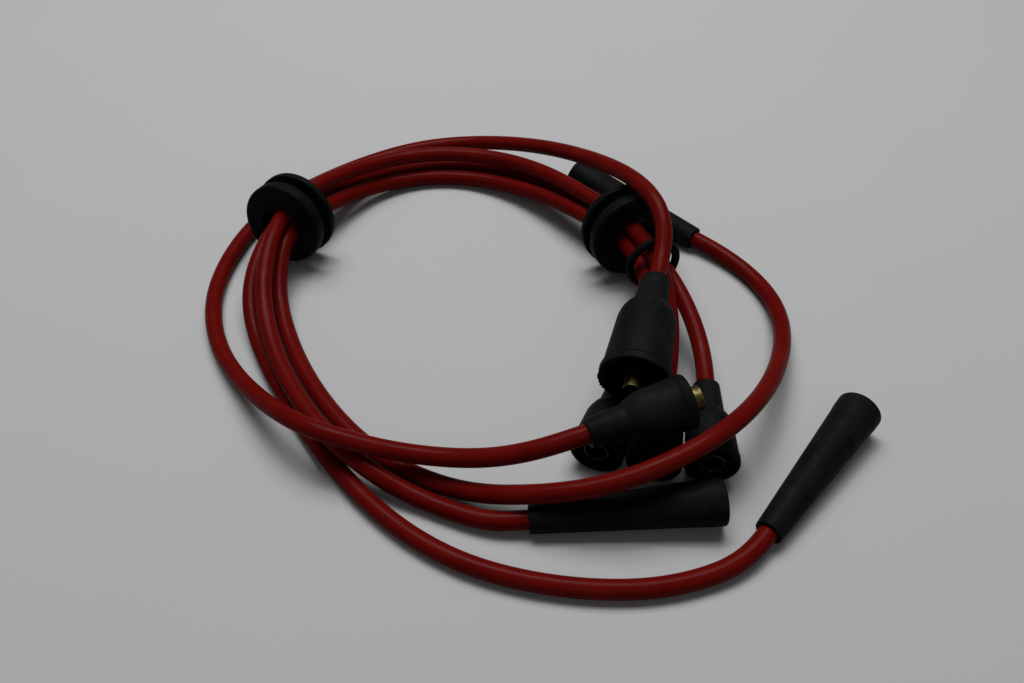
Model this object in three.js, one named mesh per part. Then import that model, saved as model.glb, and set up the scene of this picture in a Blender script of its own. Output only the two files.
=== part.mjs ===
// A set of ignition leads laid out on a table: three plug leads and one coil lead, with their rubber
// boots and brass terminals, two rubber grommets that carry the plug leads through a panel, and a ring
// that keeps those leads together. Millimetres, +Z up, and the table is the plane z = 0.
import * as THREE from "three";

// Shared sizes
const LEAD_DIAMETER = 7;
const CLEARANCE = 0.3;
const BRASS_WALL = 0.5;
const RUBBER_WALL = 2.2;
const LEAD_SIDES = 8;
const LEAD_STEP = 11;
const BOOT_SIDES = 24;
const BRASS_SIDES = 14;

const leadRadius = LEAD_DIAMETER / 2;
const neckBore = leadRadius + CLEARANCE + 0.05;
const crimpBore = leadRadius + CLEARANCE;
const crimpRadius = crimpBore + BRASS_WALL;

// Bell boots, which push over the towers of the distributor cap and of the coil
const CAP_BELL = {
  length: 37,
  neckRadius: 5.7,
  bellLength: 22.5,
  shoulderLength: 6.5,
  shoulderRadius: 8.95,
  mouthRadius: 10,
  rimProud: 0.35,
};
const COIL_BELL = {
  length: 50.5,
  neckRadius: 6.1,
  bellLength: 36,
  shoulderLength: 7.5,
  shoulderRadius: 11.2,
  mouthRadius: 13.2,
  rimProud: 0.8,
};
const RIM_BAND = 3;

// Terminals: a socket sleeve for each tower of the cap, and a tube for the coil
const SLEEVE_RADIUS = 4.5;
const SLEEVE_LENGTH = 10;
const CRIMP_LENGTH = 7;
const TUBE_RADIUS = 3.5;
const TUBE_LENGTH = 19.5;

// Plug boots, with the snap terminal and the wire clip inside
const PLUG_BOOT = {
  length: 67.6,
  smallRadius: 5,
  bigRadius: 8.55,
  collarLength: 7,
  cavityRadius: 6.2,
  cavityLength: 25.6,
  seatRadius: 4.9,
  seatLength: 23,
};
const PLUG_SOCKET_RADIUS = 3.7;
const PLUG_SOCKET_LENGTH = 18;
const PLUG_CRIMP_LENGTH = 9.5;
const PLUG_TERMINAL_SETBACK = 1;
const CLIP_WIRE = 0.9;

// Grommets and ring
const GROMMET = {
  holeRadius: 9.3,
  frontRadius: 18.2,
  frontThickness: 5.8,
  grooveRadius: 13.6,
  grooveWidth: 5.1,
  rearRadius: 18.6,
  rearThickness: 3.4,
};
const RING_BORE = 8.5;
const RING_WIRE = 3.2;

// Where each piece lies: a point on its axis, then the way that its mouth or front faces, in degrees
// about Z from +X, and the tilt of that direction above the table.
const CAP_BOOTS = {
  distributor_1: { mouth: [61.1, -76.2, 10], yaw: -94.5, pitch: 0, reach: 0 },
  distributor_2: { mouth: [40.3, -75.8, 10], yaw: -103, pitch: 0, reach: 0 },
  distributor_3: { mouth: [20, -70.9, 10], yaw: -111, pitch: 0, reach: 0 },
  centre_tower: { mouth: [50.7, -65.5, 32.6], yaw: 18, pitch: 5.5, reach: 4.5 },
};
const COIL_BOOT = { mouth: [33.7, -52.5, 28.9], yaw: -104.5, pitch: -4, reach: 5 };
const PLUG_MOUTH_HEIGHT = 8.75;
const PLUG_SMALL_END_HEIGHT = 5.2;
const PLUG_BOOTS = {
  plug_1: { mouth: [120.6, -49.2], yaw: 49.9 },
  plug_2: { mouth: [63.2, -90.3], yaw: 4.4 },
  plug_3: { mouth: [20.8, 97.6], yaw: 140.4 },
};
const GROMMETS = {
  grommet_left: { centre: [-108.3, 50.1, 19.75], yaw: -112, pitch: 9.5 },
  grommet_right: { centre: [40.3, 41.8, 19.75], yaw: -69.5, pitch: 9.5 },
};
const RING = { centre: [48.6, 19.2, 21.7], yaw: -73, pitch: 5 };

// Routes of the leads. Each list runs from the plug boot, or from the centre tower boot, to the other
// end, and the lead is the smooth curve that the points draw with them.
const PLUG_LEAD_1 = [
  [95.1, -79.4, 6.7], [86.1, -90.1, 5.9], [77.1, -100.8, 5.2], [70.8, -107.9, 4.7],
  [62.9, -113.3, 3.9], [53.6, -116.9, 3.5], [42.1, -120, 3.5], [29.1, -121.4, 3.5],
  [15.1, -121.1, 3.5], [0.6, -119.3, 3.5], [-13.9, -115.9, 3.5], [-27.9, -110.8, 3.5],
  [-41.9, -102.8, 3.5], [-55.9, -91.8, 3.5], [-69.9, -77.2, 3.5], [-83.4, -59.8, 3.5],
  [-95.9, -41.3, 3.5], [-107.7, -21.3, 3.5], [-116.4, -2.8, 4.3], [-120.4, 12.2, 8.6],
  [-119.5, 26.2, 14.2], [-114.9, 43.8, 18.6], [-109, 58.5, 16.3], [-101.9, 72.2, 14.8],
  [-90.9, 89.2, 9.5], [-75.4, 105.2, 5], [-54.9, 113.8, 3.5], [-32.4, 113.5, 3.7],
  [-10.9, 104.7, 6], [8.1, 88.7, 10.5], [23.6, 70.7, 13.6], [41.2, 50.2, 16.3],
  [46.4, 36.3, 18.7], [52.6, 20.6, 20.2], [58.6, 4.2, 18.8], [63.3, -10.6, 14.5],
  [65.1, -26.2, 10.8], [64, -39.3, 10], [63.1, -51.3, 10], [62, -64.2, 10],
];
const PLUG_LEAD_2 = [
  [23.8, -93.4, 6.7], [9.9, -94.4, 5.9], [-4.1, -95.5, 5.2], [-13.8, -95.9, 4.6],
  [-23, -94, 3.8], [-33.5, -89.8, 3.5], [-45.4, -84.5, 3.8], [-57.4, -78.8, 7.4],
  [-68.7, -71.4, 10.6], [-79.4, -60.8, 11.2], [-89.4, -47.2, 10.8], [-98.9, -30.8, 10.8],
  [-106.9, -13.5, 12.4], [-111.4, 2.4, 16.2], [-112.9, 17.2, 21], [-111.4, 42.5, 25.1],
  [-105.1, 58.1, 22.7], [-99.9, 69.2, 23.5], [-88.4, 84.7, 19.5], [-72.9, 99.7, 15.7],
  [-52.4, 109.7, 13], [-30.4, 109.5, 13], [-8.5, 100, 15.5], [10.1, 82.8, 19.2],
  [24.1, 64.7, 21.5], [37.3, 49.9, 22.7], [42.5, 36, 25.1], [49, 19.4, 26.9],
  [51.9, 3.2, 24.2], [53.2, -12.4, 17], [51.6, -27.1, 10.9], [48.6, -39.7, 10],
  [45.9, -51.4, 10], [43, -64.1, 10],
];
const PLUG_LEAD_3 = [
  [51.3, 72.4, 6.7], [62.1, 63.5, 5.9], [72.9, 54.6, 5.2], [83.6, 45.9, 4.3],
  [94.6, 32.7, 3.5], [102.3, 13.7, 4.2], [100.5, -10.3, 8], [90.7, -36.5, 15.5],
  [78.7, -56.8, 22.2], [65.5, -72.2, 26.7], [52.5, -82.2, 27.7], [37.1, -89.6, 25.5],
  [21.6, -92.5, 20.8], [5.6, -92.6, 16.7], [-9.9, -90.2, 12], [-24.4, -85.2, 6],
  [-40.9, -78, 3.5], [-57.4, -68.2, 3.5], [-72.4, -54.3, 3.5], [-85.9, -36.6, 3.5],
  [-97.4, -16.3, 3.5], [-106.5, 5.5, 5.6], [-109.7, 21.7, 11], [-108.5, 40, 18.9],
  [-102, 55.7, 16.3], [-95.9, 65.7, 14.5], [-85.9, 82.2, 9.5], [-72.4, 95.7, 5.3],
  [-54.4, 103.4, 3.7], [-32.4, 103.6, 3.7], [-10.9, 94.2, 6], [7.1, 78.4, 10.8],
  [20.1, 62.7, 14], [34.1, 47.5, 16.3], [39.4, 33.6, 18.7], [45.9, 18.2, 20.3],
  [45.8, -1.5, 16.8], [38.6, -22.4, 10.8], [33.3, -36.4, 10], [25, -57.8, 10],
];
const COIL_LEAD = [
  [39.3, -69.2, 31.4], [28, -72.9, 30.3], [15.7, -76.9, 29.1], [10.1, -78.6, 28.2],
  [0.6, -80.4, 25.5], [-10.9, -80.2, 21], [-22.9, -78.4, 17], [-35.3, -75.6, 14.2],
  [-47.4, -73.6, 13.8], [-60.1, -72.2, 16], [-72.4, -70.2, 19], [-83.9, -65.6, 19.2],
  [-95.9, -55.8, 15.5], [-108.4, -41.8, 9.7], [-120.1, -26.8, 5], [-129.9, -10.8, 3.5],
  [-135.9, 6.7, 3.5], [-137.9, 21.7, 3.5], [-137.2, 36.7, 3.5], [-134.1, 53.2, 3.5],
  [-127.9, 70.2, 3.5], [-117.4, 86.2, 3.5], [-102.4, 101.2, 3.5], [-83.9, 115.2, 3.5],
  [-64.4, 126.2, 3.5], [-46.4, 131.4, 3.7], [-27.9, 130.6, 5.5], [-10.9, 122.5, 10.5],
  [5.6, 106.5, 19.3], [20.6, 85.7, 29.3], [33.1, 65.2, 37.8], [42.6, 46.7, 43.5],
  [49.2, 31.7, 44.3], [52, 19, 39.8], [49.5, 7.3, 33.4], [46.2, -4.2, 32.4],
  [42.2, -19.7, 31.3], [37.7, -37, 30],
];

// Finishes
const leadRubber = new THREE.MeshStandardMaterial({ color: 0x7d1a1a, roughness: 0.4, metalness: 0 });
const bootRubber = new THREE.MeshStandardMaterial({ color: 0x1b1c1f, roughness: 0.55, metalness: 0 });
const brass = new THREE.MeshStandardMaterial({ color: 0xa88a4f, roughness: 0.35, metalness: 1 });
const springSteel = new THREE.MeshStandardMaterial({ color: 0x9a9da1, roughness: 0.3, metalness: 1 });

const group = new THREE.Group();

// A solid of revolution about +X. Each point of the profile is [distance along the axis, radius], and
// the profile runs round the wall once: out along the outside, then back along the inside.
function turned(profile, sides) {
  const ring = [...profile, profile[0]].map(([along, radius]) => new THREE.Vector2(radius, along));
  return new THREE.LatheGeometry(ring, sides).rotateZ(-Math.PI / 2);
}

// A named mesh with its local origin at a place, and its local +X facing the way that the place says.
function lay(name, geometry, material, point, yaw, pitch) {
  const mesh = new THREE.Mesh(geometry, material);
  mesh.name = name;
  mesh.position.set(...point);
  mesh.rotation.set(0, THREE.MathUtils.degToRad(-pitch), THREE.MathUtils.degToRad(yaw), "ZYX");
  group.add(mesh);
  return mesh;
}

// Leads: a uniform cubic B-spline through the route, which starts and ends on its end points.
class LeadCurve extends THREE.Curve {
  constructor(route) {
    super();
    const points = route.map((p) => new THREE.Vector3(...p));
    const last = points.length - 1;
    const before = points[0].clone().multiplyScalar(2).sub(points[1]);
    const after = points[last].clone().multiplyScalar(2).sub(points[last - 1]);
    this.spans = last;
    this.points = [before, ...points, after];
    this.arcLengthDivisions = 600;
  }

  getPoint(t, target = new THREE.Vector3()) {
    const place = Math.min(t, 1) * this.spans;
    const span = Math.min(Math.floor(place), this.spans - 1);
    const u = place - span;
    const weights = [
      (1 - u) ** 3,
      3 * u ** 3 - 6 * u ** 2 + 4,
      -3 * u ** 3 + 3 * u ** 2 + 3 * u + 1,
      u ** 3,
    ];
    target.set(0, 0, 0);
    weights.forEach((weight, i) => target.addScaledVector(this.points[span + i], weight / 6));
    return target;
  }
}

function leadSection() {
  const corners = [];
  for (let i = 0; i < LEAD_SIDES; i += 1) {
    const turn = (2 * Math.PI * i) / LEAD_SIDES;
    corners.push(new THREE.Vector2(leadRadius * Math.cos(turn), leadRadius * Math.sin(turn)));
  }
  return new THREE.Shape(corners);
}

function addLead(name, route) {
  const path = new LeadCurve(route);
  const steps = Math.min(80, Math.round(path.getLength() / LEAD_STEP));
  const geometry = new THREE.ExtrudeGeometry(leadSection(), { extrudePath: path, steps });
  const mesh = new THREE.Mesh(geometry, leadRubber);
  mesh.name = name;
  group.add(mesh);
}

// A bell boot: a neck that grips the lead, a round shoulder, a slight flare and a raised band at the
// mouth. The mouth is at 0, the bell ends behind its shoulder, and the neck takes the rest of the length.
function bellBoot(size) {
  const neckEnd = -size.length;
  const neckTop = -size.bellLength;
  const shoulder = neckTop + size.shoulderLength;
  const rise = size.shoulderRadius - size.neckRadius;
  const bodyRadius = size.mouthRadius - size.rimProud;
  const outside = [
    [neckEnd, size.neckRadius - 0.6],
    [neckEnd + 0.6, size.neckRadius],
    [neckTop, size.neckRadius],
    [neckTop + 0.3 * size.shoulderLength, size.neckRadius + 0.47 * rise],
    [neckTop + 0.62 * size.shoulderLength, size.neckRadius + 0.83 * rise],
    [shoulder, size.shoulderRadius],
    [-RIM_BAND - 0.4, bodyRadius],
    [-RIM_BAND, size.mouthRadius],
    [-0.6, size.mouthRadius],
    [0, size.mouthRadius - 0.5],
  ];
  const inside = [
    [0, size.mouthRadius - RUBBER_WALL + 0.4],
    [-0.7, size.mouthRadius - RUBBER_WALL],
    [shoulder + 1.5, size.shoulderRadius - RUBBER_WALL - 0.2],
    [neckTop + 2, neckBore],
    [neckEnd, neckBore],
  ];
  return turned([...outside, ...inside], BOOT_SIDES);
}

// A socket sleeve for a tower of the cap, open in front, with a detent groove, crimped on the lead.
function socketTerminal(reach) {
  const back = -SLEEVE_LENGTH;
  const groove = reach - 0.45 * SLEEVE_LENGTH;
  const bore = SLEEVE_RADIUS - BRASS_WALL;
  const outside = [
    [back - CRIMP_LENGTH, crimpRadius],
    [back - 0.5, crimpRadius],
    [back, SLEEVE_RADIUS],
    [groove - 0.9, SLEEVE_RADIUS],
    [groove, SLEEVE_RADIUS - 0.3],
    [groove + 0.9, SLEEVE_RADIUS],
    [reach - 0.8, SLEEVE_RADIUS],
    [reach - 0.2, SLEEVE_RADIUS + 0.15],
    [reach, SLEEVE_RADIUS],
  ];
  const inside = [
    [reach, bore],
    [groove + 0.9, bore],
    [groove, bore - 0.3],
    [groove - 0.9, bore],
    [back, bore],
    [back - 0.5, crimpBore],
    [back - CRIMP_LENGTH, crimpBore],
  ];
  return turned([...outside, ...inside], BRASS_SIDES);
}

// The tube that goes into the coil: thin in front, and widened behind to the crimp round the lead.
function tubeTerminal(reach) {
  const back = reach - TUBE_LENGTH;
  const crimpStart = back - 1.2;
  const crimpEnd = crimpStart - CRIMP_LENGTH;
  const outside = [
    [crimpEnd, crimpRadius],
    [crimpStart, crimpRadius],
    [back, TUBE_RADIUS],
    [reach - 0.6, TUBE_RADIUS],
    [reach, TUBE_RADIUS - 0.3],
  ];
  const inside = [
    [reach, TUBE_RADIUS - BRASS_WALL],
    [back, TUBE_RADIUS - BRASS_WALL],
    [crimpStart - 0.1, crimpBore],
    [crimpEnd, crimpBore],
  ];
  return turned([...outside, ...inside], BRASS_SIDES);
}

// A plug boot: a straight taper with a collar and a rounded lip at the mouth, a cavity for the plug's
// insulator, a seat for the terminal and a bore for the lead. The mouth is at 0.
function plugBoot() {
  const end = -PLUG_BOOT.length;
  const collar = -PLUG_BOOT.collarLength;
  const seatFront = -PLUG_BOOT.cavityLength;
  const seatBack = seatFront - PLUG_BOOT.seatLength;
  const outside = [
    [end, PLUG_BOOT.smallRadius - 0.5],
    [end + 0.6, PLUG_BOOT.smallRadius],
    [collar, PLUG_BOOT.bigRadius - 0.35],
    [collar + 1, PLUG_BOOT.bigRadius - 0.1],
    [-1.2, PLUG_BOOT.bigRadius],
    [-0.35, PLUG_BOOT.bigRadius - 0.35],
    [0, PLUG_BOOT.bigRadius - 1.1],
  ];
  const inside = [
    [0, PLUG_BOOT.cavityRadius + 0.5],
    [-0.8, PLUG_BOOT.cavityRadius],
    [seatFront, PLUG_BOOT.cavityRadius],
    [seatFront - 0.8, PLUG_BOOT.seatRadius],
    [seatBack, PLUG_BOOT.seatRadius],
    [seatBack - 1, neckBore],
    [end, neckBore],
  ];
  return turned([...outside, ...inside], BOOT_SIDES);
}

// The back of a snap terminal, which stands on the back of the boot's seat.
function plugTerminalBack() {
  return PLUG_TERMINAL_SETBACK - PLUG_BOOT.cavityLength - PLUG_BOOT.seatLength;
}

// The snap terminal of a plug: a crimp round the lead, and a socket for the top of the plug.
function plugTerminal() {
  const crimpStart = plugTerminalBack();
  const crimpEnd = crimpStart + PLUG_CRIMP_LENGTH;
  const socketStart = crimpEnd + 0.8;
  const front = crimpEnd + PLUG_SOCKET_LENGTH;
  const bore = PLUG_SOCKET_RADIUS - BRASS_WALL;
  const outside = [
    [crimpStart, crimpRadius],
    [crimpEnd, crimpRadius],
    [socketStart, PLUG_SOCKET_RADIUS],
    [front, PLUG_SOCKET_RADIUS],
  ];
  const inside = [
    [front, bore],
    [socketStart, bore],
    [crimpEnd - 0.1, crimpBore],
    [crimpStart, crimpBore],
  ];
  return turned([...outside, ...inside], BRASS_SIDES);
}

// The wire clip that squeezes the socket on to the plug, a ring near the front of the socket.
function plugClip() {
  const radius = PLUG_SOCKET_RADIUS + CLEARANCE + CLIP_WIRE / 2;
  const front = plugTerminalBack() + PLUG_CRIMP_LENGTH + PLUG_SOCKET_LENGTH;
  const ring = new THREE.TorusGeometry(radius, CLIP_WIRE / 2, 5, BRASS_SIDES);
  return ring.rotateY(Math.PI / 2).translate(front - 2.5, 0, 0);
}

// A grommet: two flanges with a groove between them for the panel, and one hole for the three leads.
// The front flange runs from 0 to its thickness along the axis.
function grommet() {
  const front = GROMMET.frontThickness;
  const groove = -GROMMET.grooveWidth;
  const rear = groove - GROMMET.rearThickness;
  const profile = [
    [rear, GROMMET.holeRadius + 0.5],
    [rear, GROMMET.rearRadius - 0.9],
    [rear + 0.7, GROMMET.rearRadius],
    [groove - 0.6, GROMMET.rearRadius],
    [groove, GROMMET.rearRadius - 0.6],
    [groove, GROMMET.grooveRadius],
    [0, GROMMET.grooveRadius],
    [0, GROMMET.frontRadius - 0.7],
    [0.7, GROMMET.frontRadius],
    [front - 2, GROMMET.frontRadius],
    [front - 0.7, GROMMET.frontRadius - 0.6],
    [front, GROMMET.frontRadius - 1.9],
    [front, GROMMET.holeRadius + 0.5],
    [front - 0.5, GROMMET.holeRadius],
    [rear + 0.5, GROMMET.holeRadius],
  ];
  return turned(profile, 30);
}

// The ring round the three plug leads, in front of the right grommet.
function leadRing() {
  const ring = new THREE.TorusGeometry(RING_BORE + RING_WIRE / 2, RING_WIRE / 2, 8, 28);
  return ring.rotateY(Math.PI / 2);
}

function addAll() {
  addLead("plug_lead_1", PLUG_LEAD_1);
  addLead("plug_lead_2", PLUG_LEAD_2);
  addLead("plug_lead_3", PLUG_LEAD_3);
  addLead("coil_lead", COIL_LEAD);
  for (const [name, place] of Object.entries(CAP_BOOTS)) {
    lay(name + "_boot", bellBoot(CAP_BELL), bootRubber, place.mouth, place.yaw, place.pitch);
    lay(name + "_terminal", socketTerminal(place.reach), brass, place.mouth, place.yaw, place.pitch);
  }
  const coil = COIL_BOOT;
  lay("coil_boot", bellBoot(COIL_BELL), bootRubber, coil.mouth, coil.yaw, coil.pitch);
  lay("coil_terminal", tubeTerminal(coil.reach), brass, coil.mouth, coil.yaw, coil.pitch);
  const drop = PLUG_MOUTH_HEIGHT - PLUG_SMALL_END_HEIGHT;
  const pitch = THREE.MathUtils.radToDeg(Math.asin(drop / PLUG_BOOT.length));
  for (const [name, place] of Object.entries(PLUG_BOOTS)) {
    const mouth = [...place.mouth, PLUG_MOUTH_HEIGHT];
    lay(name + "_boot", plugBoot(), bootRubber, mouth, place.yaw, pitch);
    lay(name + "_terminal", plugTerminal(), brass, mouth, place.yaw, pitch);
    lay(name + "_clip", plugClip(), springSteel, mouth, place.yaw, pitch);
  }
  for (const [name, place] of Object.entries(GROMMETS)) {
    lay(name, grommet(), bootRubber, place.centre, place.yaw, place.pitch);
  }
  lay("lead_ring", leadRing(), bootRubber, RING.centre, RING.yaw, RING.pitch);
}

// The origin is under the middle of the pieces that keep their shape, so the leads don't count in it.
function centreOnTable() {
  const box = new THREE.Box3();
  const rigid = group.children.filter((mesh) => !mesh.name.includes("lead") || mesh.name === "lead_ring");
  group.updateMatrixWorld(true);
  rigid.forEach((mesh) => box.expandByObject(mesh, true));
  const middle = box.getCenter(new THREE.Vector3());
  group.children.forEach((mesh) => mesh.position.sub(new THREE.Vector3(middle.x, middle.y, 0)));
}

addAll();
centreOnTable();

export default group;
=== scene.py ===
# Ignition leads on a pale table: three plug leads and a coil lead in red jackets, black rubber boots,
# brass terminals, two grommets and a ring. Metres, +Z up, the table at z = 0.
import math

import bpy
import numpy as np
from mathutils import Matrix


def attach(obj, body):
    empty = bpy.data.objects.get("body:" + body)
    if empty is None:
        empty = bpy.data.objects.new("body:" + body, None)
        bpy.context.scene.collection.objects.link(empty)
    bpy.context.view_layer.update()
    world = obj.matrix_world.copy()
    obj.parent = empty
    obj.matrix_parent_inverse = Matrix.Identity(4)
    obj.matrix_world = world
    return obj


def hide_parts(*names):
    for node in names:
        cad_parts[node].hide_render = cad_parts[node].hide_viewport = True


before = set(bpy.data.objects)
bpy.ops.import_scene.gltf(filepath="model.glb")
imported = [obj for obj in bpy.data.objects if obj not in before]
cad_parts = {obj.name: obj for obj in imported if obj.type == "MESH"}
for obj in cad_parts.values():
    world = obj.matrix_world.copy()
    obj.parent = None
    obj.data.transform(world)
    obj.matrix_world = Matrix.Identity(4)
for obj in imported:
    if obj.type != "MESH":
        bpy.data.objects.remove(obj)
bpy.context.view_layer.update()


# Camera: it stands in front of the set and 0.28 m above the table, and looks down at 46 degrees. Its
# lens is a mild wide-angle one, so the near boots look larger than the far ones.
camera_data = bpy.data.cameras.new("camera")
camera_data.sensor_width = 36
camera_data.lens = 33.05
camera = bpy.data.objects.new("camera", camera_data)
camera.location = (-0.0099, -0.2758, 0.28)
camera.rotation_euler = (math.radians(44), 0, 0)
bpy.context.scene.collection.objects.link(camera)
bpy.context.scene.camera = camera
bpy.context.scene.view_settings.view_transform = "Standard"


# Leads: a stranded core in silicone insulation and a red silicone jacket, 7 mm across, extruded in one
# length. Each is crimped into its two terminals and lies in the loops that it took in its packet.
LEAD_DIAMETER = 0.007
LEAD_STEP = 0.0015
LEAD_SIDES = 28
SPAN_POINTS = 40
JACKET_SETBACK = 0.00004
JACKET_WANDER = 0.00003
JACKET_OVAL = 0.00002
plug_lead_1_route = [
    (0.0951, -0.0794, 0.0067), (0.0861, -0.0901, 0.0059), (0.0771, -0.1008, 0.0052),
    (0.0708, -0.1079, 0.0047), (0.0629, -0.1133, 0.0039), (0.0536, -0.1169, 0.0035),
    (0.0421, -0.12, 0.0035), (0.0291, -0.1214, 0.0035), (0.0151, -0.1211, 0.0035),
    (0.0006, -0.1193, 0.0035), (-0.0139, -0.1159, 0.0035), (-0.0279, -0.1108, 0.0035),
    (-0.0419, -0.1028, 0.0035), (-0.0559, -0.0918, 0.0035), (-0.0699, -0.0772, 0.0035),
    (-0.0834, -0.0598, 0.0035), (-0.0959, -0.0413, 0.0035), (-0.1077, -0.0213, 0.0035),
    (-0.1164, -0.0028, 0.0043), (-0.1204, 0.0122, 0.0086), (-0.1195, 0.0262, 0.0142),
    (-0.1149, 0.0438, 0.0186), (-0.109, 0.0585, 0.0163), (-0.1019, 0.0722, 0.0148),
    (-0.0909, 0.0892, 0.0095), (-0.0754, 0.1052, 0.005), (-0.0549, 0.1138, 0.0035),
    (-0.0324, 0.1135, 0.0037), (-0.0109, 0.1047, 0.006), (0.0081, 0.0887, 0.0105),
    (0.0236, 0.0707, 0.0136), (0.0412, 0.0502, 0.0163), (0.0464, 0.0363, 0.0187),
    (0.0526, 0.0206, 0.0202), (0.0586, 0.0042, 0.0188), (0.0633, -0.0106, 0.0145),
    (0.0651, -0.0262, 0.0108), (0.064, -0.0393, 0.01), (0.0631, -0.0513, 0.01), (0.062, -0.0642, 0.01),
]
plug_lead_2_route = [
    (0.0238, -0.0934, 0.0067), (0.0099, -0.0944, 0.0059), (-0.0041, -0.0955, 0.0052),
    (-0.0138, -0.0959, 0.0046), (-0.023, -0.094, 0.0038), (-0.0335, -0.0898, 0.0035),
    (-0.0454, -0.0845, 0.0038), (-0.0574, -0.0788, 0.0074), (-0.0687, -0.0714, 0.0106),
    (-0.0794, -0.0608, 0.0112), (-0.0894, -0.0472, 0.0108), (-0.0989, -0.0308, 0.0108),
    (-0.1069, -0.0135, 0.0124), (-0.1114, 0.0024, 0.0162), (-0.1129, 0.0172, 0.021),
    (-0.1114, 0.0425, 0.0251), (-0.1051, 0.0581, 0.0227), (-0.0999, 0.0692, 0.0235),
    (-0.0884, 0.0847, 0.0195), (-0.0729, 0.0997, 0.0157), (-0.0524, 0.1097, 0.013),
    (-0.0304, 0.1095, 0.013), (-0.0085, 0.1, 0.0155), (0.0101, 0.0828, 0.0192),
    (0.0241, 0.0647, 0.0215), (0.0373, 0.0499, 0.0227), (0.0425, 0.036, 0.0251),
    (0.049, 0.0194, 0.0269), (0.0519, 0.0032, 0.0242), (0.0532, -0.0124, 0.017),
    (0.0516, -0.0271, 0.0109), (0.0486, -0.0397, 0.01), (0.0459, -0.0514, 0.01), (0.043, -0.0641, 0.01),
]
plug_lead_3_route = [
    (0.0513, 0.0724, 0.0067), (0.0621, 0.0635, 0.0059), (0.0729, 0.0546, 0.0052),
    (0.0836, 0.0459, 0.0043), (0.0946, 0.0327, 0.0035), (0.1023, 0.0137, 0.0042),
    (0.1005, -0.0103, 0.008), (0.0907, -0.0365, 0.0155), (0.0787, -0.0568, 0.0222),
    (0.0655, -0.0722, 0.0267), (0.0525, -0.0822, 0.0277), (0.0371, -0.0896, 0.0255),
    (0.0216, -0.0925, 0.0208), (0.0056, -0.0926, 0.0167), (-0.0099, -0.0902, 0.012),
    (-0.0244, -0.0852, 0.006), (-0.0409, -0.078, 0.0035), (-0.0574, -0.0682, 0.0035),
    (-0.0724, -0.0543, 0.0035), (-0.0859, -0.0366, 0.0035), (-0.0974, -0.0163, 0.0035),
    (-0.1065, 0.0055, 0.0056), (-0.1097, 0.0217, 0.011), (-0.1085, 0.04, 0.0189),
    (-0.102, 0.0557, 0.0163), (-0.0959, 0.0657, 0.0145), (-0.0859, 0.0822, 0.0095),
    (-0.0724, 0.0957, 0.0053), (-0.0544, 0.1034, 0.0037), (-0.0324, 0.1036, 0.0037),
    (-0.0109, 0.0942, 0.006), (0.0071, 0.0784, 0.0108), (0.0201, 0.0627, 0.014),
    (0.0341, 0.0475, 0.0163), (0.0394, 0.0336, 0.0187), (0.0459, 0.0182, 0.0203),
    (0.0458, -0.0015, 0.0168), (0.0386, -0.0224, 0.0108), (0.0333, -0.0364, 0.01),
    (0.025, -0.0578, 0.01),
]
coil_lead_route = [
    (0.0393, -0.0692, 0.0314), (0.028, -0.0729, 0.0303), (0.0157, -0.0769, 0.0291),
    (0.0101, -0.0786, 0.0282), (0.0006, -0.0804, 0.0255), (-0.0109, -0.0802, 0.021),
    (-0.0229, -0.0784, 0.017), (-0.0353, -0.0756, 0.0142), (-0.0474, -0.0736, 0.0138),
    (-0.0601, -0.0722, 0.016), (-0.0724, -0.0702, 0.019), (-0.0839, -0.0656, 0.0192),
    (-0.0959, -0.0558, 0.0155), (-0.1084, -0.0418, 0.0097), (-0.1201, -0.0268, 0.005),
    (-0.1299, -0.0108, 0.0035), (-0.1359, 0.0067, 0.0035), (-0.1379, 0.0217, 0.0035),
    (-0.1372, 0.0367, 0.0035), (-0.1341, 0.0532, 0.0035), (-0.1279, 0.0702, 0.0035),
    (-0.1174, 0.0862, 0.0035), (-0.1024, 0.1012, 0.0035), (-0.0839, 0.1152, 0.0035),
    (-0.0644, 0.1262, 0.0035), (-0.0464, 0.1314, 0.0037), (-0.0279, 0.1306, 0.0055),
    (-0.0109, 0.1225, 0.0105), (0.0056, 0.1065, 0.0193), (0.0206, 0.0857, 0.0293),
    (0.0331, 0.0652, 0.0378), (0.0426, 0.0467, 0.0435), (0.0492, 0.0317, 0.0443),
    (0.052, 0.019, 0.0398), (0.0495, 0.0073, 0.0334), (0.0462, -0.0042, 0.0324),
    (0.0422, -0.0197, 0.0313), (0.0377, -0.037, 0.03),
]


def lead_path(route):
    """Points every LEAD_STEP along the cubic B-spline through a route, ends included."""
    points = np.array(route)
    before = 2 * points[0] - points[1]
    after = 2 * points[-1] - points[-2]
    controls = np.vstack([before, points, after])
    u = np.linspace(0, 1, SPAN_POINTS, endpoint=False)[:, None]
    spans = []
    for i in range(len(points) - 1):
        a, b, c, d = controls[i:i + 4]
        blend = a * (1 - u) ** 3 + b * (3 * u ** 3 - 6 * u ** 2 + 4)
        blend = blend + c * (-3 * u ** 3 + 3 * u ** 2 + 3 * u + 1) + d * u ** 3
        spans.append(blend / 6)
    fine = np.vstack(spans + [points[-1:]])
    along = np.r_[0, np.cumsum(np.linalg.norm(np.diff(fine, axis=0), axis=1))]
    wanted = np.linspace(0, along[-1], int(round(along[-1] / LEAD_STEP)) + 1)
    path = np.column_stack([np.interp(wanted, along, fine[:, i]) for i in range(3)])
    return path, along[-1]


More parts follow.
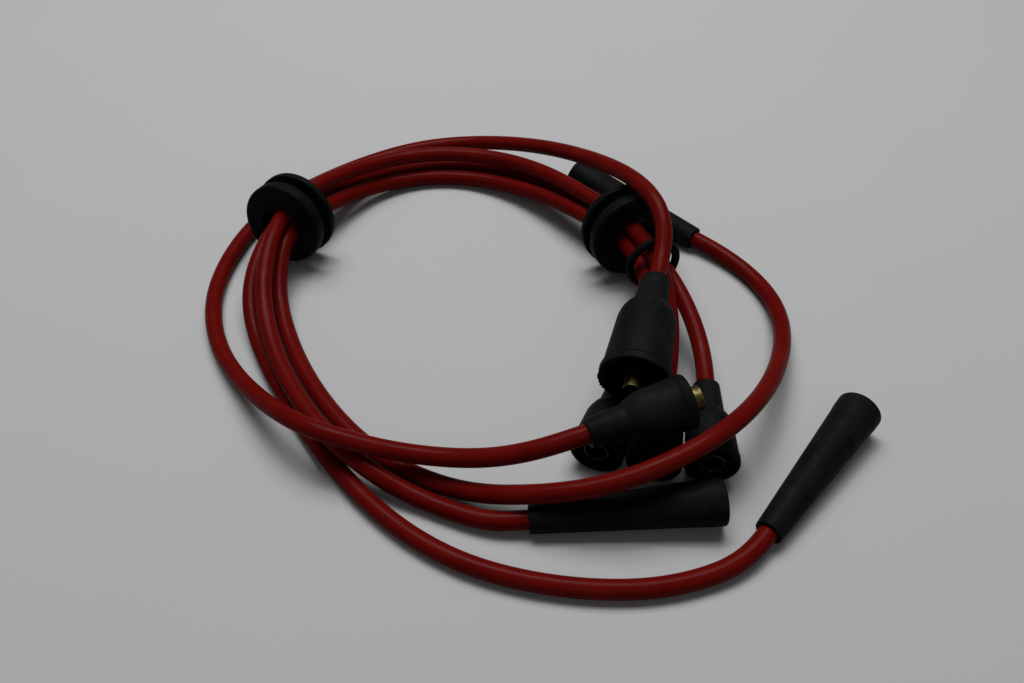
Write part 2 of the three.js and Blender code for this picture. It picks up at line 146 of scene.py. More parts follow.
def tube_mesh(name, path, radius_at, sides):
    """A closed tube along a path. UV runs once round it in U and in metres along it in V."""
    tangents = np.gradient(path, axis=0)
    tangents /= np.linalg.norm(tangents, axis=1)[:, None]
    side = np.cross(tangents[0], (0, 0, 1.0))
    side /= np.linalg.norm(side)
    turns = np.linspace(0, 2 * math.pi, sides, endpoint=False)
    vertices = []
    for i, (point, tangent) in enumerate(zip(path, tangents)):
        side = side - tangent * side.dot(tangent)
        side /= np.linalg.norm(side)
        up = np.cross(side, tangent)
        radius = radius_at(i, turns)[:, None]
        vertices.append(point + radius * (np.cos(turns)[:, None] * side + np.sin(turns)[:, None] * up))
    vertices = np.vstack(vertices)
    faces = []
    uvs = []
    step = np.linalg.norm(path[1] - path[0])
    for i in range(len(path) - 1):
        for j in range(sides):
            k = (j + 1) % sides
            faces.append((i * sides + j, i * sides + k, (i + 1) * sides + k, (i + 1) * sides + j))
            u0, u1 = j / sides, (j + 1) / sides
            uvs += [(u0, i * step), (u1, i * step), (u1, (i + 1) * step), (u0, (i + 1) * step)]
    last = (len(path) - 1) * sides
    faces.append(tuple(reversed(range(sides))))
    faces.append(tuple(range(last, last + sides)))
    uvs += [(0, 0)] * (2 * sides)
    mesh = bpy.data.meshes.new(name)
    mesh.from_pydata(vertices.tolist(), [], faces)
    layer = mesh.uv_layers.new(name="UVMap")
    layer.data.foreach_set("uv", np.array(uvs, dtype=np.float32).ravel())
    mesh.shade_smooth()
    mesh.update()
    return mesh


def add_piece(name, mesh, material):
    """Links a mesh as a piece of the set, with its finish, riding with the rest."""
    piece = bpy.data.objects.new(name, mesh)
    bpy.context.scene.collection.objects.link(piece)
    mesh.materials.append(material)
    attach(piece, "root")
    return piece


class Nodes:
    """Builds a node material: each call adds a node and returns it."""

    def __init__(self, name):
        self.material = bpy.data.materials.new(name)
        self.material.use_nodes = True
        self.tree = self.material.node_tree
        self.shader = self.tree.nodes["Principled BSDF"]

    def add(self, kind, inputs=None, **settings):
        node = self.tree.nodes.new(kind)
        for key, value in settings.items():
            setattr(node, key, value)
        for key, value in (inputs or {}).items():
            self.feed(node.inputs[key], value)
        return node

    def feed(self, socket, value):
        if isinstance(value, bpy.types.NodeSocket):
            self.tree.links.new(value, socket)
        else:
            socket.default_value = value

    def place(self, space, scale):
        """Coordinates in metres times a scale, from the piece itself or from its UV map."""
        source = self.add("ShaderNodeTexCoord").outputs[space]
        return self.add("ShaderNodeMapping", {"Vector": source, "Scale": scale}).outputs["Vector"]

    def noise(self, where, scale, detail=4.0, roughness=0.55):
        values = {"Vector": where, "Scale": scale, "Detail": detail, "Roughness": roughness}
        return self.add("ShaderNodeTexNoise", values).outputs["Fac"]

    def spread(self, value, low, high, to_low, to_high):
        """Maps a value from one range to another and keeps it inside the second."""
        values = {0: value, 1: low, 2: high, 3: to_low, 4: to_high}
        return self.add("ShaderNodeMapRange", values).outputs[0]

    def blend(self, factor, first, second):
        values = {0: factor, 6: first, 7: second}
        return self.add("ShaderNodeMix", values, data_type="RGBA").outputs[2]

    def bump(self, height, depth, over=None):
        values = {"Height": height, "Distance": depth, "Strength": 1.0}
        if over is not None:
            values["Normal"] = over
        return self.add("ShaderNodeBump", values).outputs["Normal"]


def red_silicone():
    """The jacket: deep red with faint draw lines in its bump, lighter streaks along them as a painted
    highlight, rubbed duller in places, and a little dust.
    """
    make = Nodes("red_silicone")
    lines = make.place("UV", (90, 3, 1))
    fine = make.place("UV", (260, 9, 1))
    body = make.place("Object", (1, 1, 1))
    draw_lines_and_highlight = make.noise(lines, 1.0, 3.0)
    hair = make.noise(fine, 1.0, 2.0)
    cloud = make.noise(body, 55, 3.0)
    dust = make.noise(body, 1500, 2.0)
    deep, worn = (0.09, 0.0024, 0.0017, 1), (0.108, 0.0038, 0.0026, 1)
    colour = make.blend(make.spread(cloud, 0.35, 0.65, 0, 1), deep, worn)
    # Lighter red streaks along the draw lines: painted highlight lines in the colour of lamp reflections on
    # the jacket. The draw lines' bump below is real.
    colour = make.blend(make.spread(draw_lines_and_highlight, 0.6, 0.78, 0, 0.35), colour, (0.15, 0.014, 0.011, 1))
    colour = make.blend(make.spread(hair, 0.72, 0.8, 0, 0.25), colour, (0.22, 0.05, 0.045, 1))
    colour = make.blend(make.spread(dust, 0.76, 0.8, 0, 0.3), colour, (0.3, 0.14, 0.12, 1))
    make.feed(make.shader.inputs["Base Color"], colour)
    rough = make.spread(make.noise(body, 120, 4.0), 0.3, 0.7, 0.3, 0.42)
    make.feed(make.shader.inputs["Roughness"], rough)
    normal = make.bump(draw_lines_and_highlight, 0.00004)
    normal = make.bump(make.noise(body, 260, 3.0), 0.00005, normal)
    make.feed(make.shader.inputs["Normal"], normal)
    make.shader.inputs["Specular IOR Level"].default_value = 0.02
    make.shader.inputs["Coat Weight"].default_value = 0.028
    make.shader.inputs["Coat Roughness"].default_value = 0.12
    return make.material


lead_red = red_silicone()


def add_lead(name, route):
    """One lead from its route. Its thickness wanders by a few hundredths of a millimetre."""
    path, length = lead_path(route)

    def radius_at(i, turns):
        wander = JACKET_WANDER * math.sin(i * 0.043) + JACKET_OVAL * np.sin(2 * turns + i * 0.011)
        return LEAD_DIAMETER / 2 - JACKET_SETBACK + wander

    mesh = tube_mesh(name, path, radius_at, LEAD_SIDES)
    lead = add_piece(name + "_jacket", mesh, lead_red)
    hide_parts(name)


add_lead("plug_lead_1", plug_lead_1_route)
add_lead("plug_lead_2", plug_lead_2_route)
add_lead("plug_lead_3", plug_lead_3_route)
add_lead("coil_lead", coil_lead_route)


# Rubber of the boots: black ignition rubber, moulded in two halves, so a fine parting ridge runs along
# both sides. Edges are rounded, and the surface is matt with a faint grey bloom and handling marks.
SEAM_HEIGHT = 0.0001
SEAM_WIDTH = 0.00026
SEAM_TURNS = (-0.06, -0.03, 0, 0.03, 0.06)
CORNER_POINTS = 7


def softened(outside, inside):
    """The closed outline through corners (along, radius, rounding), and which of its points are outside."""
    corners = outside + inside
    outline = []
    is_outside = []
    for i, (along, radius, rounding) in enumerate(corners):
        corner = np.array((along, radius))
        to_last = np.array(corners[i - 1][:2]) - corner
        to_next = np.array(corners[(i + 1) % len(corners)][:2]) - corner
        reach_last = min(rounding, 0.45 * np.linalg.norm(to_last))
        reach_next = min(rounding, 0.45 * np.linalg.norm(to_next))
        start = corner + to_last / np.linalg.norm(to_last) * reach_last
        end = corner + to_next / np.linalg.norm(to_next) * reach_next
        for t in np.linspace(0, 1, CORNER_POINTS):
            outline.append((1 - t) ** 2 * start + 2 * t * (1 - t) * corner + t ** 2 * end)
            is_outside.append(i < len(outside))
    return np.array(outline), is_outside


def axes_of(yaw, pitch):
    """The axis of a piece in the set's frame, with its level side and its upper side."""
    turn, tilt = math.radians(yaw), math.radians(pitch)
    axis = np.array((math.cos(turn) * math.cos(tilt), math.sin(turn) * math.cos(tilt), math.sin(tilt)))
    side = np.array((-math.sin(turn), math.cos(turn), 0))
    return axis, side, np.cross(axis, side)


def mesh_of_rows(name, rows, closed_ring=True):
    """Four-sided faces between rows of points, the last row closing on the first. V is in metres."""
    rows = np.array(rows)
    count, ring = rows.shape[:2]
    faces = []
    uvs = []
    down = np.r_[0, np.cumsum(np.linalg.norm(np.diff(rows, axis=0), axis=2).mean(axis=1))]
    back_to_first = down[-1] + 0.001
    down = np.r_[down, back_to_first]
    for i in range(count):
        for j in range(ring if closed_ring else ring - 1):
            n, k = (i + 1) % count, (j + 1) % ring
            faces.append((i * ring + j, n * ring + j, n * ring + k, i * ring + k))
            u0, u1 = j / ring, (j + 1) / ring
            uvs += [(u0, down[i]), (u0, down[i + 1]), (u1, down[i + 1]), (u1, down[i])]
    mesh = bpy.data.meshes.new(name)
    mesh.from_pydata(rows.reshape(-1, 3).tolist(), [], faces)
    layer = mesh.uv_layers.new(name="UVMap")
    layer.data.foreach_set("uv", np.array(uvs, dtype=np.float32).ravel())
    mesh.shade_smooth()
    mesh.update()
    return mesh


def turned_mesh(name, profile, place, seam=None, sides=84, swell=0.0):
    """A solid of revolution from an outline, laid at a place. A seam is the turn of its parting ridge."""
    outline, is_outside = profile
    turns = np.linspace(0, 2 * math.pi, sides, endpoint=False)
    if seam is not None:
        near = [seam + half + step for half in (0, math.pi) for step in SEAM_TURNS]
        turns = np.sort(np.r_[turns, np.array(near) % (2 * math.pi)])
    point, yaw, pitch = place
    axis, side, up = axes_of(yaw, pitch)
    rows = []
    for (along, radius), outer in zip(outline, is_outside):
        oval = np.sin(2 * turns + along * 90) + 0.5 * np.sin(5 * turns - along * 160)
        radii = radius * (1 + swell * oval)
        if seam is not None and outer:
            off = ((turns - seam + math.pi / 2) % math.pi - math.pi / 2) * radius
            radii = radii + SEAM_HEIGHT * np.exp(-((off / SEAM_WIDTH) ** 2))
        ring = radii[:, None] * (np.cos(turns)[:, None] * side + np.sin(turns)[:, None] * up)
        rows.append(np.array(point) + along * axis + ring)
    return mesh_of_rows(name, rows)


def black_rubber(name, tone, bloom):
    """Boot rubber: near black, greyer where it is rubbed and where dust clings, with a pebbled skin."""
    make = Nodes(name)
    body = make.place("Object", (1, 1, 1))
    cloud = make.noise(body, 90, 4.0)
    dust = make.noise(body, 2200, 2.0)
    scuff = make.noise(make.place("Object", (260, 260, 900)), 1.0, 5.0, 0.65)
    dark = (tone, tone * 1.04, tone * 1.12, 1)
    grey = (tone + bloom, (tone + bloom) * 1.04, (tone + bloom) * 1.1, 1)
    colour = make.blend(make.spread(cloud, 0.4, 0.66, 0, 1), dark, grey)
    colour = make.blend(make.spread(scuff, 0.62, 0.75, 0, 0.5), colour, (0.03, 0.031, 0.034, 1))
    colour = make.blend(make.spread(dust, 0.74, 0.79, 0, 0.4), colour, (0.09, 0.09, 0.092, 1))
    make.feed(make.shader.inputs["Base Color"], colour)
    rough = make.spread(make.noise(body, 160, 4.0), 0.3, 0.7, 0.46, 0.62)
    make.feed(make.shader.inputs["Roughness"], rough)
    normal = make.bump(make.noise(body, 1400, 3.0), 0.00004)
    normal = make.bump(make.noise(body, 190, 3.0), 0.00008, normal)
    make.feed(make.shader.inputs["Normal"], normal)
    make.shader.inputs["Specular IOR Level"].default_value = 0.03
    return make.material


boot_black = black_rubber("boot_rubber", 0.0045, 0.003)


# Bell boots: each is moulded in one, with a neck for the lead, a round shoulder and a bell that pushes
# over a tower, with a raised band round the mouth. Three small ones are for the plug leads and one for
# the centre of the cap. The large one is for the coil.
LEAD_BORE = 0.00385
BAND_LENGTH = 0.003
BAND_STEP = 0.0006
LIP_WALL = 0.0019
BELL_WALL = 0.0024
NECK_TAPER = 0.0005
CAP_BELL = {
    "length": 0.037, "neck": 0.0057, "bell_length": 0.0225, "shoulder": 0.0065,
    "bell": 0.00895, "mouth": 0.01, "proud": 0.00035, "groove": 0.0001, "flare": 0.0004,
}
COIL_BELL = {
    "length": 0.0505, "neck": 0.0061, "bell_length": 0.036, "shoulder": 0.0075,
    "bell": 0.0112, "mouth": 0.0132, "proud": 0.0008, "groove": 0.0005, "flare": 0.0007,
}
BELL_PLACES = {
    "distributor_1": ((0.0611, -0.0762, 0.01), -94.5, 0),
    "distributor_2": ((0.0403, -0.0758, 0.01), -103, 0),
    "distributor_3": ((0.02, -0.0709, 0.01), -111, 0),
    "centre_tower": ((0.0507, -0.0655, 0.0326), 18, 5.5),
}
BELL_SEAMS = {"distributor_1": 75, "distributor_2": 20, "distributor_3": 160, "centre_tower": 82}
COIL_PLACE = ((0.0337, -0.0525, 0.0289), -104.5, -4)
COIL_SEAM = 172


def bell_profile(size):
    """A bell boot's outline, with the mouth at 0 and the neck behind it."""
    neck_top = -size["bell_length"]
    shoulder = neck_top + size["shoulder"]
    rise = size["bell"] - size["neck"]
    outside = [
        (-size["length"], size["neck"] - NECK_TAPER, 0.0004),
        (neck_top - 0.0004, size["neck"] + size["flare"], 0.001),
        (neck_top + 0.2 * size["shoulder"], size["neck"] + 0.55 * rise, 0.0018),
        (shoulder - 0.0014, size["bell"] - 0.0001, 0.003),
        (-BAND_LENGTH - 2 * BAND_STEP, size["mouth"] - size["proud"], 0.0003),
        (-BAND_LENGTH - BAND_STEP, size["mouth"] - size["proud"] - size["groove"], 0.0002),
        (-BAND_LENGTH, size["mouth"], 0.0002),
        (0, size["mouth"] - 0.0001, 0.0006),
    ]
    inside = [
        (0, size["mouth"] - LIP_WALL, 0.0005),
        (shoulder + 0.0015, size["bell"] - BELL_WALL, 0.0025),
        (neck_top + 0.002, LEAD_BORE, 0.001),
        (-size["length"], LEAD_BORE, 0.0003),
    ]
    return softened(outside, inside)


for name, place in BELL_PLACES.items():
    seam = math.radians(BELL_SEAMS[name])
    mesh = turned_mesh(name + "_bell", bell_profile(CAP_BELL), place, seam, swell=0.004)
    bell = add_piece(name + "_bell", mesh, boot_black)
    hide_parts(name + "_boot")

seam = math.radians(COIL_SEAM)
mesh = turned_mesh("coil_bell", bell_profile(COIL_BELL), COIL_PLACE, seam, swell=0.005)
coil_bell = add_piece("coil_bell", mesh, boot_black)
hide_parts("coil_boot")


# Flash on the coil boot: a ragged skin of rubber that was squeezed out between the mould halves and
# never trimmed, along the lip of the mouth.
FLASH_FROM = 178
FLASH_TO = 232
FLASH_SECTION = ((-0.0006, 0), (-0.0001, 0.5), (0.0001, 1), (-0.0003, 1), (-0.0009, 0.4))


def flash_mesh():
    """A thin torn strip that stands out from the lip over part of its turn."""
    point, yaw, pitch = COIL_PLACE
    axis, side, up = axes_of(yaw, pitch)
    rows = []
    turns = np.radians(np.linspace(FLASH_FROM, FLASH_TO, 60))
    tear = 0.0004 + 0.0004 * np.abs(np.sin(turns * 23) * np.sin(turns * 7 + 1)) + 0.0002 * np.sin(turns * 61)
    tear = tear * np.sin(np.linspace(0, math.pi, len(turns))) ** 0.5
    for ahead, share in FLASH_SECTION:
        radius = COIL_BELL["mouth"] - 0.0003 + share * tear
        ring = radius[:, None] * (np.cos(turns)[:, None] * side + np.sin(turns)[:, None] * up)
        rows.append(np.array(point) + ahead * axis + ring)
    return mesh_of_rows("coil_bell_flash", rows, closed_ring=False)


add_piece("coil_bell_flash", flash_mesh(), boot_black)


# Terminals: stamped sheet brass, rolled into a sleeve that stays open along one side, with a detent
# groove and two slots that let it spring on the post. Behind, its ears are crimped round the lead.
BRASS_WALL = 0.00045
SLEEVE_RADIUS = 0.0045
CRIMP_RADIUS = 0.0043
SOCKET_BACK = -0.017
CRIMP_FRONT = -0.0108
SLEEVE_BACK = -0.0098
BLEND_BACK = -0.0105
SLEEVE_BLEND = 0.001
DETENT_SETBACK = 0.0045
DETENT_DEPTH = 0.00028
SPRING_LENGTH = 0.0068
SPRING_HALF_WIDTH = 0.00045
JOINT_HALF_WIDTH = 0.0003
TOWER_REACH = 0.0045
CAP_REACH = -0.0008


def dull_brass():
    """Stamped brass: dull yellow where it is clean, brown where it has tarnished, with rolling lines."""
    make = Nodes("dull_brass")
    body = make.place("Object", (1, 1, 1))
    tarnish = make.noise(body, 420, 5.0, 0.6)
    lines = make.noise(make.place("UV", (6, 9000, 1)), 1.0, 2.0)
    clean, brown = (0.125, 0.1, 0.034, 1), (0.05, 0.041, 0.02, 1)
    colour = make.blend(make.spread(tarnish, 0.38, 0.62, 0, 1), clean, brown)
    make.feed(make.shader.inputs["Base Color"], colour)
    make.feed(make.shader.inputs["Roughness"], make.spread(tarnish, 0.35, 0.65, 0.36, 0.56))
    make.feed(make.shader.inputs["Normal"], make.bump(lines, 0.00001))
    make.shader.inputs["Metallic"].default_value = 1.0
    return make.material


brass = dull_brass()


def sheet_mesh(name, place, alongs, radius_at, turns, is_cut):
    """A rolled sheet: faces between the alongs and the turns, left out where is_cut says so."""
    point, yaw, pitch = place
    axis, side, up = axes_of(yaw, pitch)
    vertices = []
    for along in alongs:
        radii = radius_at(along, turns)
        ring = radii[:, None] * (np.cos(turns)[:, None] * side + np.sin(turns)[:, None] * up)
        vertices.append(np.array(point) + along * axis + ring)
    count = len(turns)
    faces = []
    uvs = []
    for i in range(len(alongs) - 1):
        for j in range(count - 1):
            if is_cut((alongs[i] + alongs[i + 1]) / 2, (turns[j] + turns[j + 1]) / 2):
                continue
            near, far = i * count + j, (i + 1) * count + j
            faces.append((near, far, far + 1, near + 1))
            u0, u1 = turns[j] / 7, turns[j + 1] / 7
            uvs += [(u0, alongs[i]), (u0, alongs[i + 1]), (u1, alongs[i + 1]), (u1, alongs[i])]
    mesh = bpy.data.meshes.new(name)
    mesh.from_pydata(np.vstack(vertices).tolist(), [], faces)
    layer = mesh.uv_layers.new(name="UVMap")
    layer.data.foreach_set("uv", np.array(uvs, dtype=np.float32).ravel())
    mesh.shade_smooth()
    mesh.update()
    return mesh


def add_sheet_piece(name, mesh, replaced):
    """A sheet piece with the thickness of the brass."""
    piece = add_piece(name, mesh, brass)
    wall = piece.modifiers.new("wall", "SOLIDIFY")
    wall.thickness = BRASS_WALL
    wall.offset = 0
    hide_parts(replaced)


def steps_between(stops, step):
    """Values from the first stop to the last that include every stop, with no gap wider than a step."""
    values = []
    for low, high in zip(stops, stops[1:]):
        values += list(np.linspace(low, high, max(1, int(math.ceil((high - low) / step))), endpoint=False))
    return np.array(values + [stops[-1]])


def socket_mesh(name, place, reach, gap_at):
    """The sleeve from its crimp to its mouth, with the open side at the turn gap_at."""
    detent = reach - DETENT_SETBACK
    spring_back = reach - SPRING_LENGTH
    gap = JOINT_HALF_WIDTH / SLEEVE_RADIUS

    def radius_at(along, turns):
        sleeve = SLEEVE_RADIUS - BRASS_WALL / 2
        crimp = CRIMP_RADIUS - BRASS_WALL / 2
        shift = min(max((along - BLEND_BACK) / SLEEVE_BLEND, 0), 1)
        radius = crimp + (sleeve - crimp) * shift
        radius -= DETENT_DEPTH * math.exp(-((along - detent) / 0.0006) ** 2)
        radius += 0.00016 * math.exp(-((along - reach) / 0.0004) ** 2)
        ears = 0.0001 * np.cos(turns * 4) * (1 - shift)
        return radius + ears

    def is_cut(along, turn):
        off = abs((turn - gap_at + math.pi) % (2 * math.pi) - math.pi)
        if off < gap:
            return True
        spring = abs((turn - gap_at) % math.pi - math.pi / 2) < SPRING_HALF_WIDTH / SLEEVE_RADIUS
        if spring and along > spring_back:
            return True
        return CRIMP_FRONT < along < SLEEVE_BACK and off < 1.2

    sleeve_stops = [spring_back, detent - 0.0012, detent + 0.0012, reach - 0.0006, reach]
    alongs = steps_between([SOCKET_BACK, CRIMP_FRONT, SLEEVE_BACK] + sleeve_stops, 0.00035)
    quarter = math.pi / 2
    marks = [gap, quarter - 0.1, quarter + 0.1, 3 * quarter - 0.1, 3 * quarter + 0.1, 4 * quarter - gap]
    turns = gap_at + steps_between(marks, 0.09)
    return sheet_mesh(name, place, alongs, radius_at, turns, is_cut)


for name, place in BELL_PLACES.items():
    reach, open_side = (TOWER_REACH, -60) if name == "centre_tower" else (CAP_REACH, 250)
    mesh = socket_mesh(name + "_socket", place, reach, math.radians(open_side))
    add_sheet_piece(name + "_socket", mesh, name + "_terminal")


# Coil terminal: a plain brass tube that pushes into the coil's tower, with the crimp round the lead
# behind it. It is rolled from sheet and left open along its underside.
TUBE_RADIUS = 0.0035
TUBE_FRONT = 0.005
TUBE_BACK = -0.0145
TUBE_BLEND = 0.0012
TUBE_CRIMP = 0.0082


def coil_tube_mesh():
    """The tube with its crimp, and with the rolled-in edge of its mouth."""
    tube = TUBE_RADIUS - BRASS_WALL / 2
    crimp = CRIMP_RADIUS - BRASS_WALL / 2

    def radius_at(along, turns):
        shift = min(max((along - TUBE_BACK + TUBE_BLEND) / TUBE_BLEND, 0), 1)
        radius = crimp + (tube - crimp) * shift
        radius -= 0.00016 * math.exp(-((along - TUBE_FRONT) / 0.0003) ** 2)
        return np.full(len(turns), radius)

    stops = [TUBE_BACK - TUBE_CRIMP, TUBE_BACK - TUBE_BLEND, TUBE_BACK, TUBE_FRONT - 0.0012, TUBE_FRONT]
    alongs = steps_between(stops, 0.0003)
    turns = np.linspace(0.06, 2 * math.pi - 0.06, 56) + math.radians(270)
    return sheet_mesh("coil_tube", COIL_PLACE, alongs, radius_at, turns, lambda along, turn: False)


add_sheet_piece("coil_tube", coil_tube_mesh(), "coil_terminal")


# Plug boots: straight tapered tubes of the same rubber with a short collar at the mouth. The spark
# plug's insulator goes into the wide cavity, and the terminal sits behind it.
PLUG_LENGTH = 0.0676
PLUG_NECK = 0.005
PLUG_MOUTH = 0.00855
PLUG_CAVITY = 0.0256
PLUG_SEAT_BACK = 0.0486
TERMINAL_BORE = 0.0049
MOUTH_HEIGHT = 0.00875
NECK_HEIGHT = 0.0052
PLUG_TILT = math.degrees(math.asin((MOUTH_HEIGHT - NECK_HEIGHT) / PLUG_LENGTH))
PLUG_PLACES = {
    "plug_1": ((0.1206, -0.0492, MOUTH_HEIGHT), 49.9, PLUG_TILT),
    "plug_2": ((0.0632, -0.0903, MOUTH_HEIGHT), 4.4, PLUG_TILT),
    "plug_3": ((0.0208, 0.0976, MOUTH_HEIGHT), 140.4, PLUG_TILT),
}
PLUG_SEAMS = {"plug_1": 118, "plug_2": 60, "plug_3": 100}


def plug_profile():
    """A plug boot's outline, with the mouth at 0 and the end that grips the lead behind it."""
    outside = [
        (-PLUG_LENGTH, PLUG_NECK, 0.0005),
        (-0.0072, 0.0082, 0.002),
        (-0.006, 0.00842, 0.001),
        (0, PLUG_MOUTH, 0.0012),
    ]
    inside = [
        (0, 0.0064, 0.0007),
        (-PLUG_CAVITY, 0.0062, 0.0004),
        (-PLUG_CAVITY - 0.0008, TERMINAL_BORE, 0.0003),
        (-PLUG_SEAT_BACK, TERMINAL_BORE, 0.0004),
        (-PLUG_SEAT_BACK - 0.001, LEAD_BORE, 0.0004),
        (-PLUG_LENGTH, LEAD_BORE, 0.0003),
    ]
    return softened(outside, inside)


for name, place in PLUG_PLACES.items():
    seam = math.radians(PLUG_SEAMS[name])
    mesh = turned_mesh(name + "_sleeve", plug_profile(), place, seam, swell=0.003)
    sleeve = add_piece(name + "_sleeve", mesh, boot_black)
    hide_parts(name + "_boot")


# Snap terminals: stamped brass as well, a crimp behind and a socket that snaps over the top of the
# spark plug. Four slots let the socket spring, and an open ring of spring wire squeezes it.
SNAP_BACK = -0.0476
SNAP_CRIMP_FRONT = -0.0381
SNAP_BLEND = 0.0008
SNAP_FRONT = -0.0201
SNAP_RADIUS = 0.0037
SNAP_SLOTS = 0.009
CLIP_SETBACK = 0.0226
CLIP_RADIUS = 0.00445
CLIP_WIRE = 0.00045


def snap_mesh(name, place):
    """The crimp and the slotted socket, which opens a little at its mouth."""
    slot_back = SNAP_FRONT - SNAP_SLOTS

    def radius_at(along, turns):
        shift = min(max((along - SNAP_CRIMP_FRONT) / SNAP_BLEND, 0), 1)
        radius = CRIMP_RADIUS - BRASS_WALL / 2 + (SNAP_RADIUS - CRIMP_RADIUS) * shift
        radius += 0.0003 * math.exp(-((along - SNAP_FRONT) / 0.0005) ** 2)
        return np.full(len(turns), radius)

    def is_cut(along, turn):
        return along > slot_back and abs(turn % (math.pi / 2) - math.pi / 4) < 0.08

    stops = [SNAP_BACK, SNAP_CRIMP_FRONT, SNAP_CRIMP_FRONT + SNAP_BLEND, slot_back, SNAP_FRONT]
    alongs = steps_between(stops, 0.0006)
    turns = np.linspace(0.06, 2 * math.pi - 0.06, 72)
    return sheet_mesh(name, place, alongs, radius_at, turns, is_cut)


def drawn_steel():
    """Bright drawn spring wire with lengthwise die lines."""
    make = Nodes("drawn_steel")
    lines = make.noise(make.place("UV", (60, 400, 1)), 1.0, 2.0)
    colour = make.blend(lines, (0.42, 0.43, 0.44, 1), (0.58, 0.58, 0.6, 1))
    make.feed(make.shader.inputs["Base Color"], colour)
    make.feed(make.shader.inputs["Roughness"], make.spread(lines, 0.3, 0.7, 0.22, 0.36))
    make.shader.inputs["Metallic"].default_value = 1.0
    return make.material


spring_wire = drawn_steel()


def clip_mesh(name, place):
    """An open ring of wire round the socket."""
    point, yaw, pitch = place
    axis, side, up = axes_of(yaw, pitch)
    turns = np.linspace(0.35, 2 * math.pi - 0.35, 60)
    middle = np.array(point) - CLIP_SETBACK * axis
    path = middle + CLIP_RADIUS * (np.cos(turns)[:, None] * side + np.sin(turns)[:, None] * up)
    return tube_mesh(name, path, lambda i, around: np.full(len(around), CLIP_WIRE), 12)


for name, place in PLUG_PLACES.items():
    add_sheet_piece(name + "_snap", snap_mesh(name + "_snap", place), name + "_terminal")
    clip = add_piece(name + "_wire_clip", clip_mesh(name + "_wire_clip", place), spring_wire)
    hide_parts(name + "_clip")


# Grommets: round black rubber bushes with a deep groove for the panel between a thick front flange and
# a thinner rear one. The three plug leads run through their one hole.
GROMMET_FRONT = 0.0058
GROMMET_GROOVE = 0.0051
GROMMET_REAR = 0.0034
FRONT_FLANGE = 0.0182
REAR_FLANGE = 0.0186
GROOVE_FLOOR = 0.0136
GROMMET_BORE = 0.0093
grommet_black = black_rubber("grommet_rubber", 0.0035, 0.0025)
GROMMET_PLACES = {
    "grommet_left": ((-0.1083, 0.0501, 0.01975), -112, 9.5),
    "grommet_right": ((0.0403, 0.0418, 0.01975), -69.5, 9.5),
}


def grommet_profile():
    """A grommet's outline: the front flange lies ahead of 0, the groove and the rear one behind."""
    back = -GROMMET_GROOVE - GROMMET_REAR
    outside = [
        (back, REAR_FLANGE, 0.0009),
        (-GROMMET_GROOVE, REAR_FLANGE, 0.0007),
        (-GROMMET_GROOVE, GROOVE_FLOOR, 0.0005),
        (0, GROOVE_FLOOR, 0.0005),
        (0, FRONT_FLANGE, 0.0008),
        (GROMMET_FRONT, FRONT_FLANGE, 0.0019),
    ]
    inside = [
        (GROMMET_FRONT, GROMMET_BORE, 0.0006),
        (back, GROMMET_BORE, 0.0006),
    ]
    return softened(outside, inside)


for name, place in GROMMET_PLACES.items():
    mesh = turned_mesh(name + "_bush", grommet_profile(), place, math.radians(40), sides=120, swell=0.002)
    bush = add_piece(name + "_bush", mesh, grommet_black)
    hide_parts(name)


# Ring: a moulded ring of the grommets' rubber, with a nearly round section. It is pushed over the three
# plug leads in front of the right grommet and keeps them together.
RING_PLACE = ((0.0486, 0.0192, 0.0217), -73, 5)
RING_RADIUS = 0.01025
RING_HALF_LENGTH = 0.00175
RING_HALF_DEPTH = 0.00172


def ring_profile():
    """The ring's section."""
    turns = np.linspace(0, 2 * math.pi, 26, endpoint=False)
    outline = np.column_stack([
        RING_HALF_LENGTH * np.sin(turns),
        RING_RADIUS + RING_HALF_DEPTH * np.cos(turns),
    ])
    return outline, [True] * len(turns)


mesh = turned_mesh("bundle_ring", ring_profile(), RING_PLACE, sides=96, swell=0.006)
bundle_ring = add_piece("bundle_ring", mesh, grommet_black)
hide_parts("lead_ring")


# Table: a sheet of pale grey card that runs out of view on every side. It lies a twentieth of a
# millimetre low, so that what touches the table doesn't cut into it.
TABLE_HALF = 2.5
TABLE_GAP = 0.00005


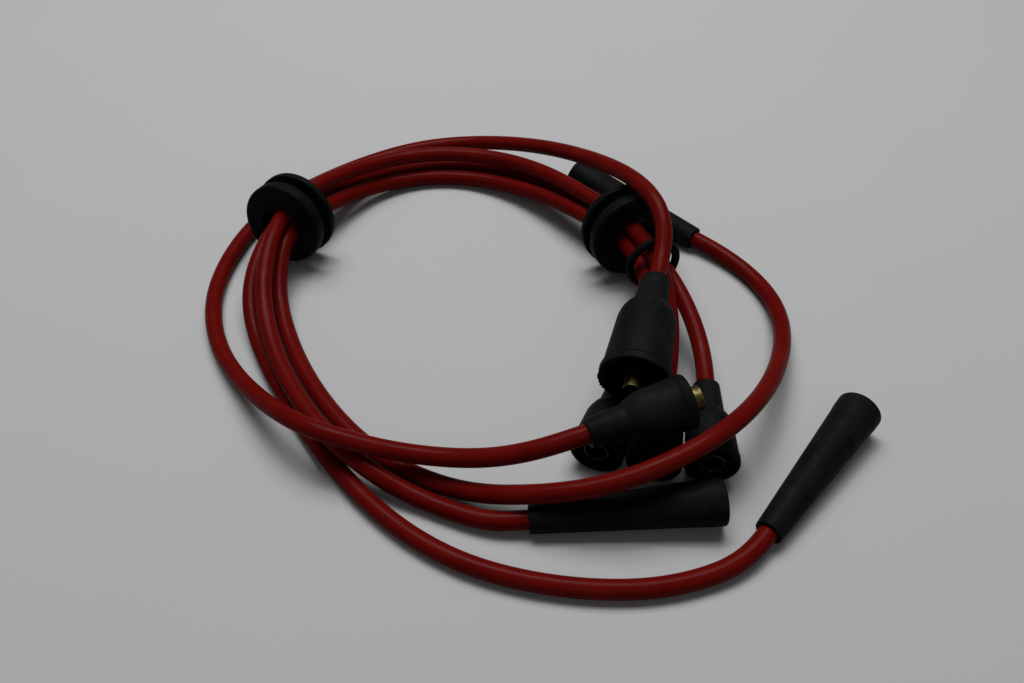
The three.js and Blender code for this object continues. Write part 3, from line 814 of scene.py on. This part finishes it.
def grey_card():
    """Matt card with a barely visible mottle."""
    make = Nodes("grey_card")
    body = make.place("Object", (1, 1, 1))
    colour = make.blend(make.noise(body, 14, 3.0), (0.41, 0.41, 0.41, 1), (0.42, 0.42, 0.421, 1))
    make.feed(make.shader.inputs["Base Color"], colour)
    make.feed(make.shader.inputs["Normal"], make.bump(make.noise(body, 700, 3.0), 0.00002))
    make.shader.inputs["Roughness"].default_value = 0.75
    make.shader.inputs["Specular IOR Level"].default_value = 0.3
    return make.material


floor_mesh = bpy.data.meshes.new("table_card")
corners = [(x * TABLE_HALF, y * TABLE_HALF, 0) for x, y in ((-1, -1), (1, -1), (1, 1), (-1, 1))]
floor_mesh.from_pydata(corners, [], [(0, 1, 2, 3)])
floor_mesh.materials.append(grey_card())
table_card = bpy.data.objects.new("table_card", floor_mesh)
table_card.location = (0, 0, -TABLE_GAP)
bpy.context.scene.collection.objects.link(table_card)


# Light: a wide soft lamp nearly overhead, a small one that draws the thin lines along the leads, a
# weak lamp in front, and an even grey sky.
def add_lamp(name, place, aim, size, power):
    """A rectangular lamp that faces the point aim."""
    data = bpy.data.lights.new(name, "AREA")
    data.shape = "RECTANGLE"
    data.size, data.size_y = size
    data.energy = power
    lamp = bpy.data.objects.new(name, data)
    lamp.location = place
    away = np.array(place) - np.array(aim)
    away = away / np.linalg.norm(away)
    across = np.cross((0, 0, 1), away)
    across = across / np.linalg.norm(across)
    over = np.cross(away, across)
    rows = np.column_stack([across, over, away])
    lamp.rotation_euler = Matrix(rows.tolist()).to_euler()
    bpy.context.scene.collection.objects.link(lamp)


add_lamp("soft_lamp", (-0.05, 0.55, 1.45), (0, 0.05, 0), (1.3, 0.8), 22.1)
add_lamp("small_lamp", (-0.1, 0.4, 1.2), (0, 0, 0), (0.3, 0.05), 1.8)
add_lamp("front_lamp", (0.3, -1.2, 1.2), (0, 0, 0), (0.9, 0.6), 1.1)

SKY_STRENGTH = 0.095
world = bpy.data.worlds.new("grey_room")
world.use_nodes = True
sky = world.node_tree.nodes["Background"]
sky.inputs["Color"].default_value = (1, 1, 1, 1)
sky.inputs["Strength"].default_value = SKY_STRENGTH
bpy.context.scene.world = world
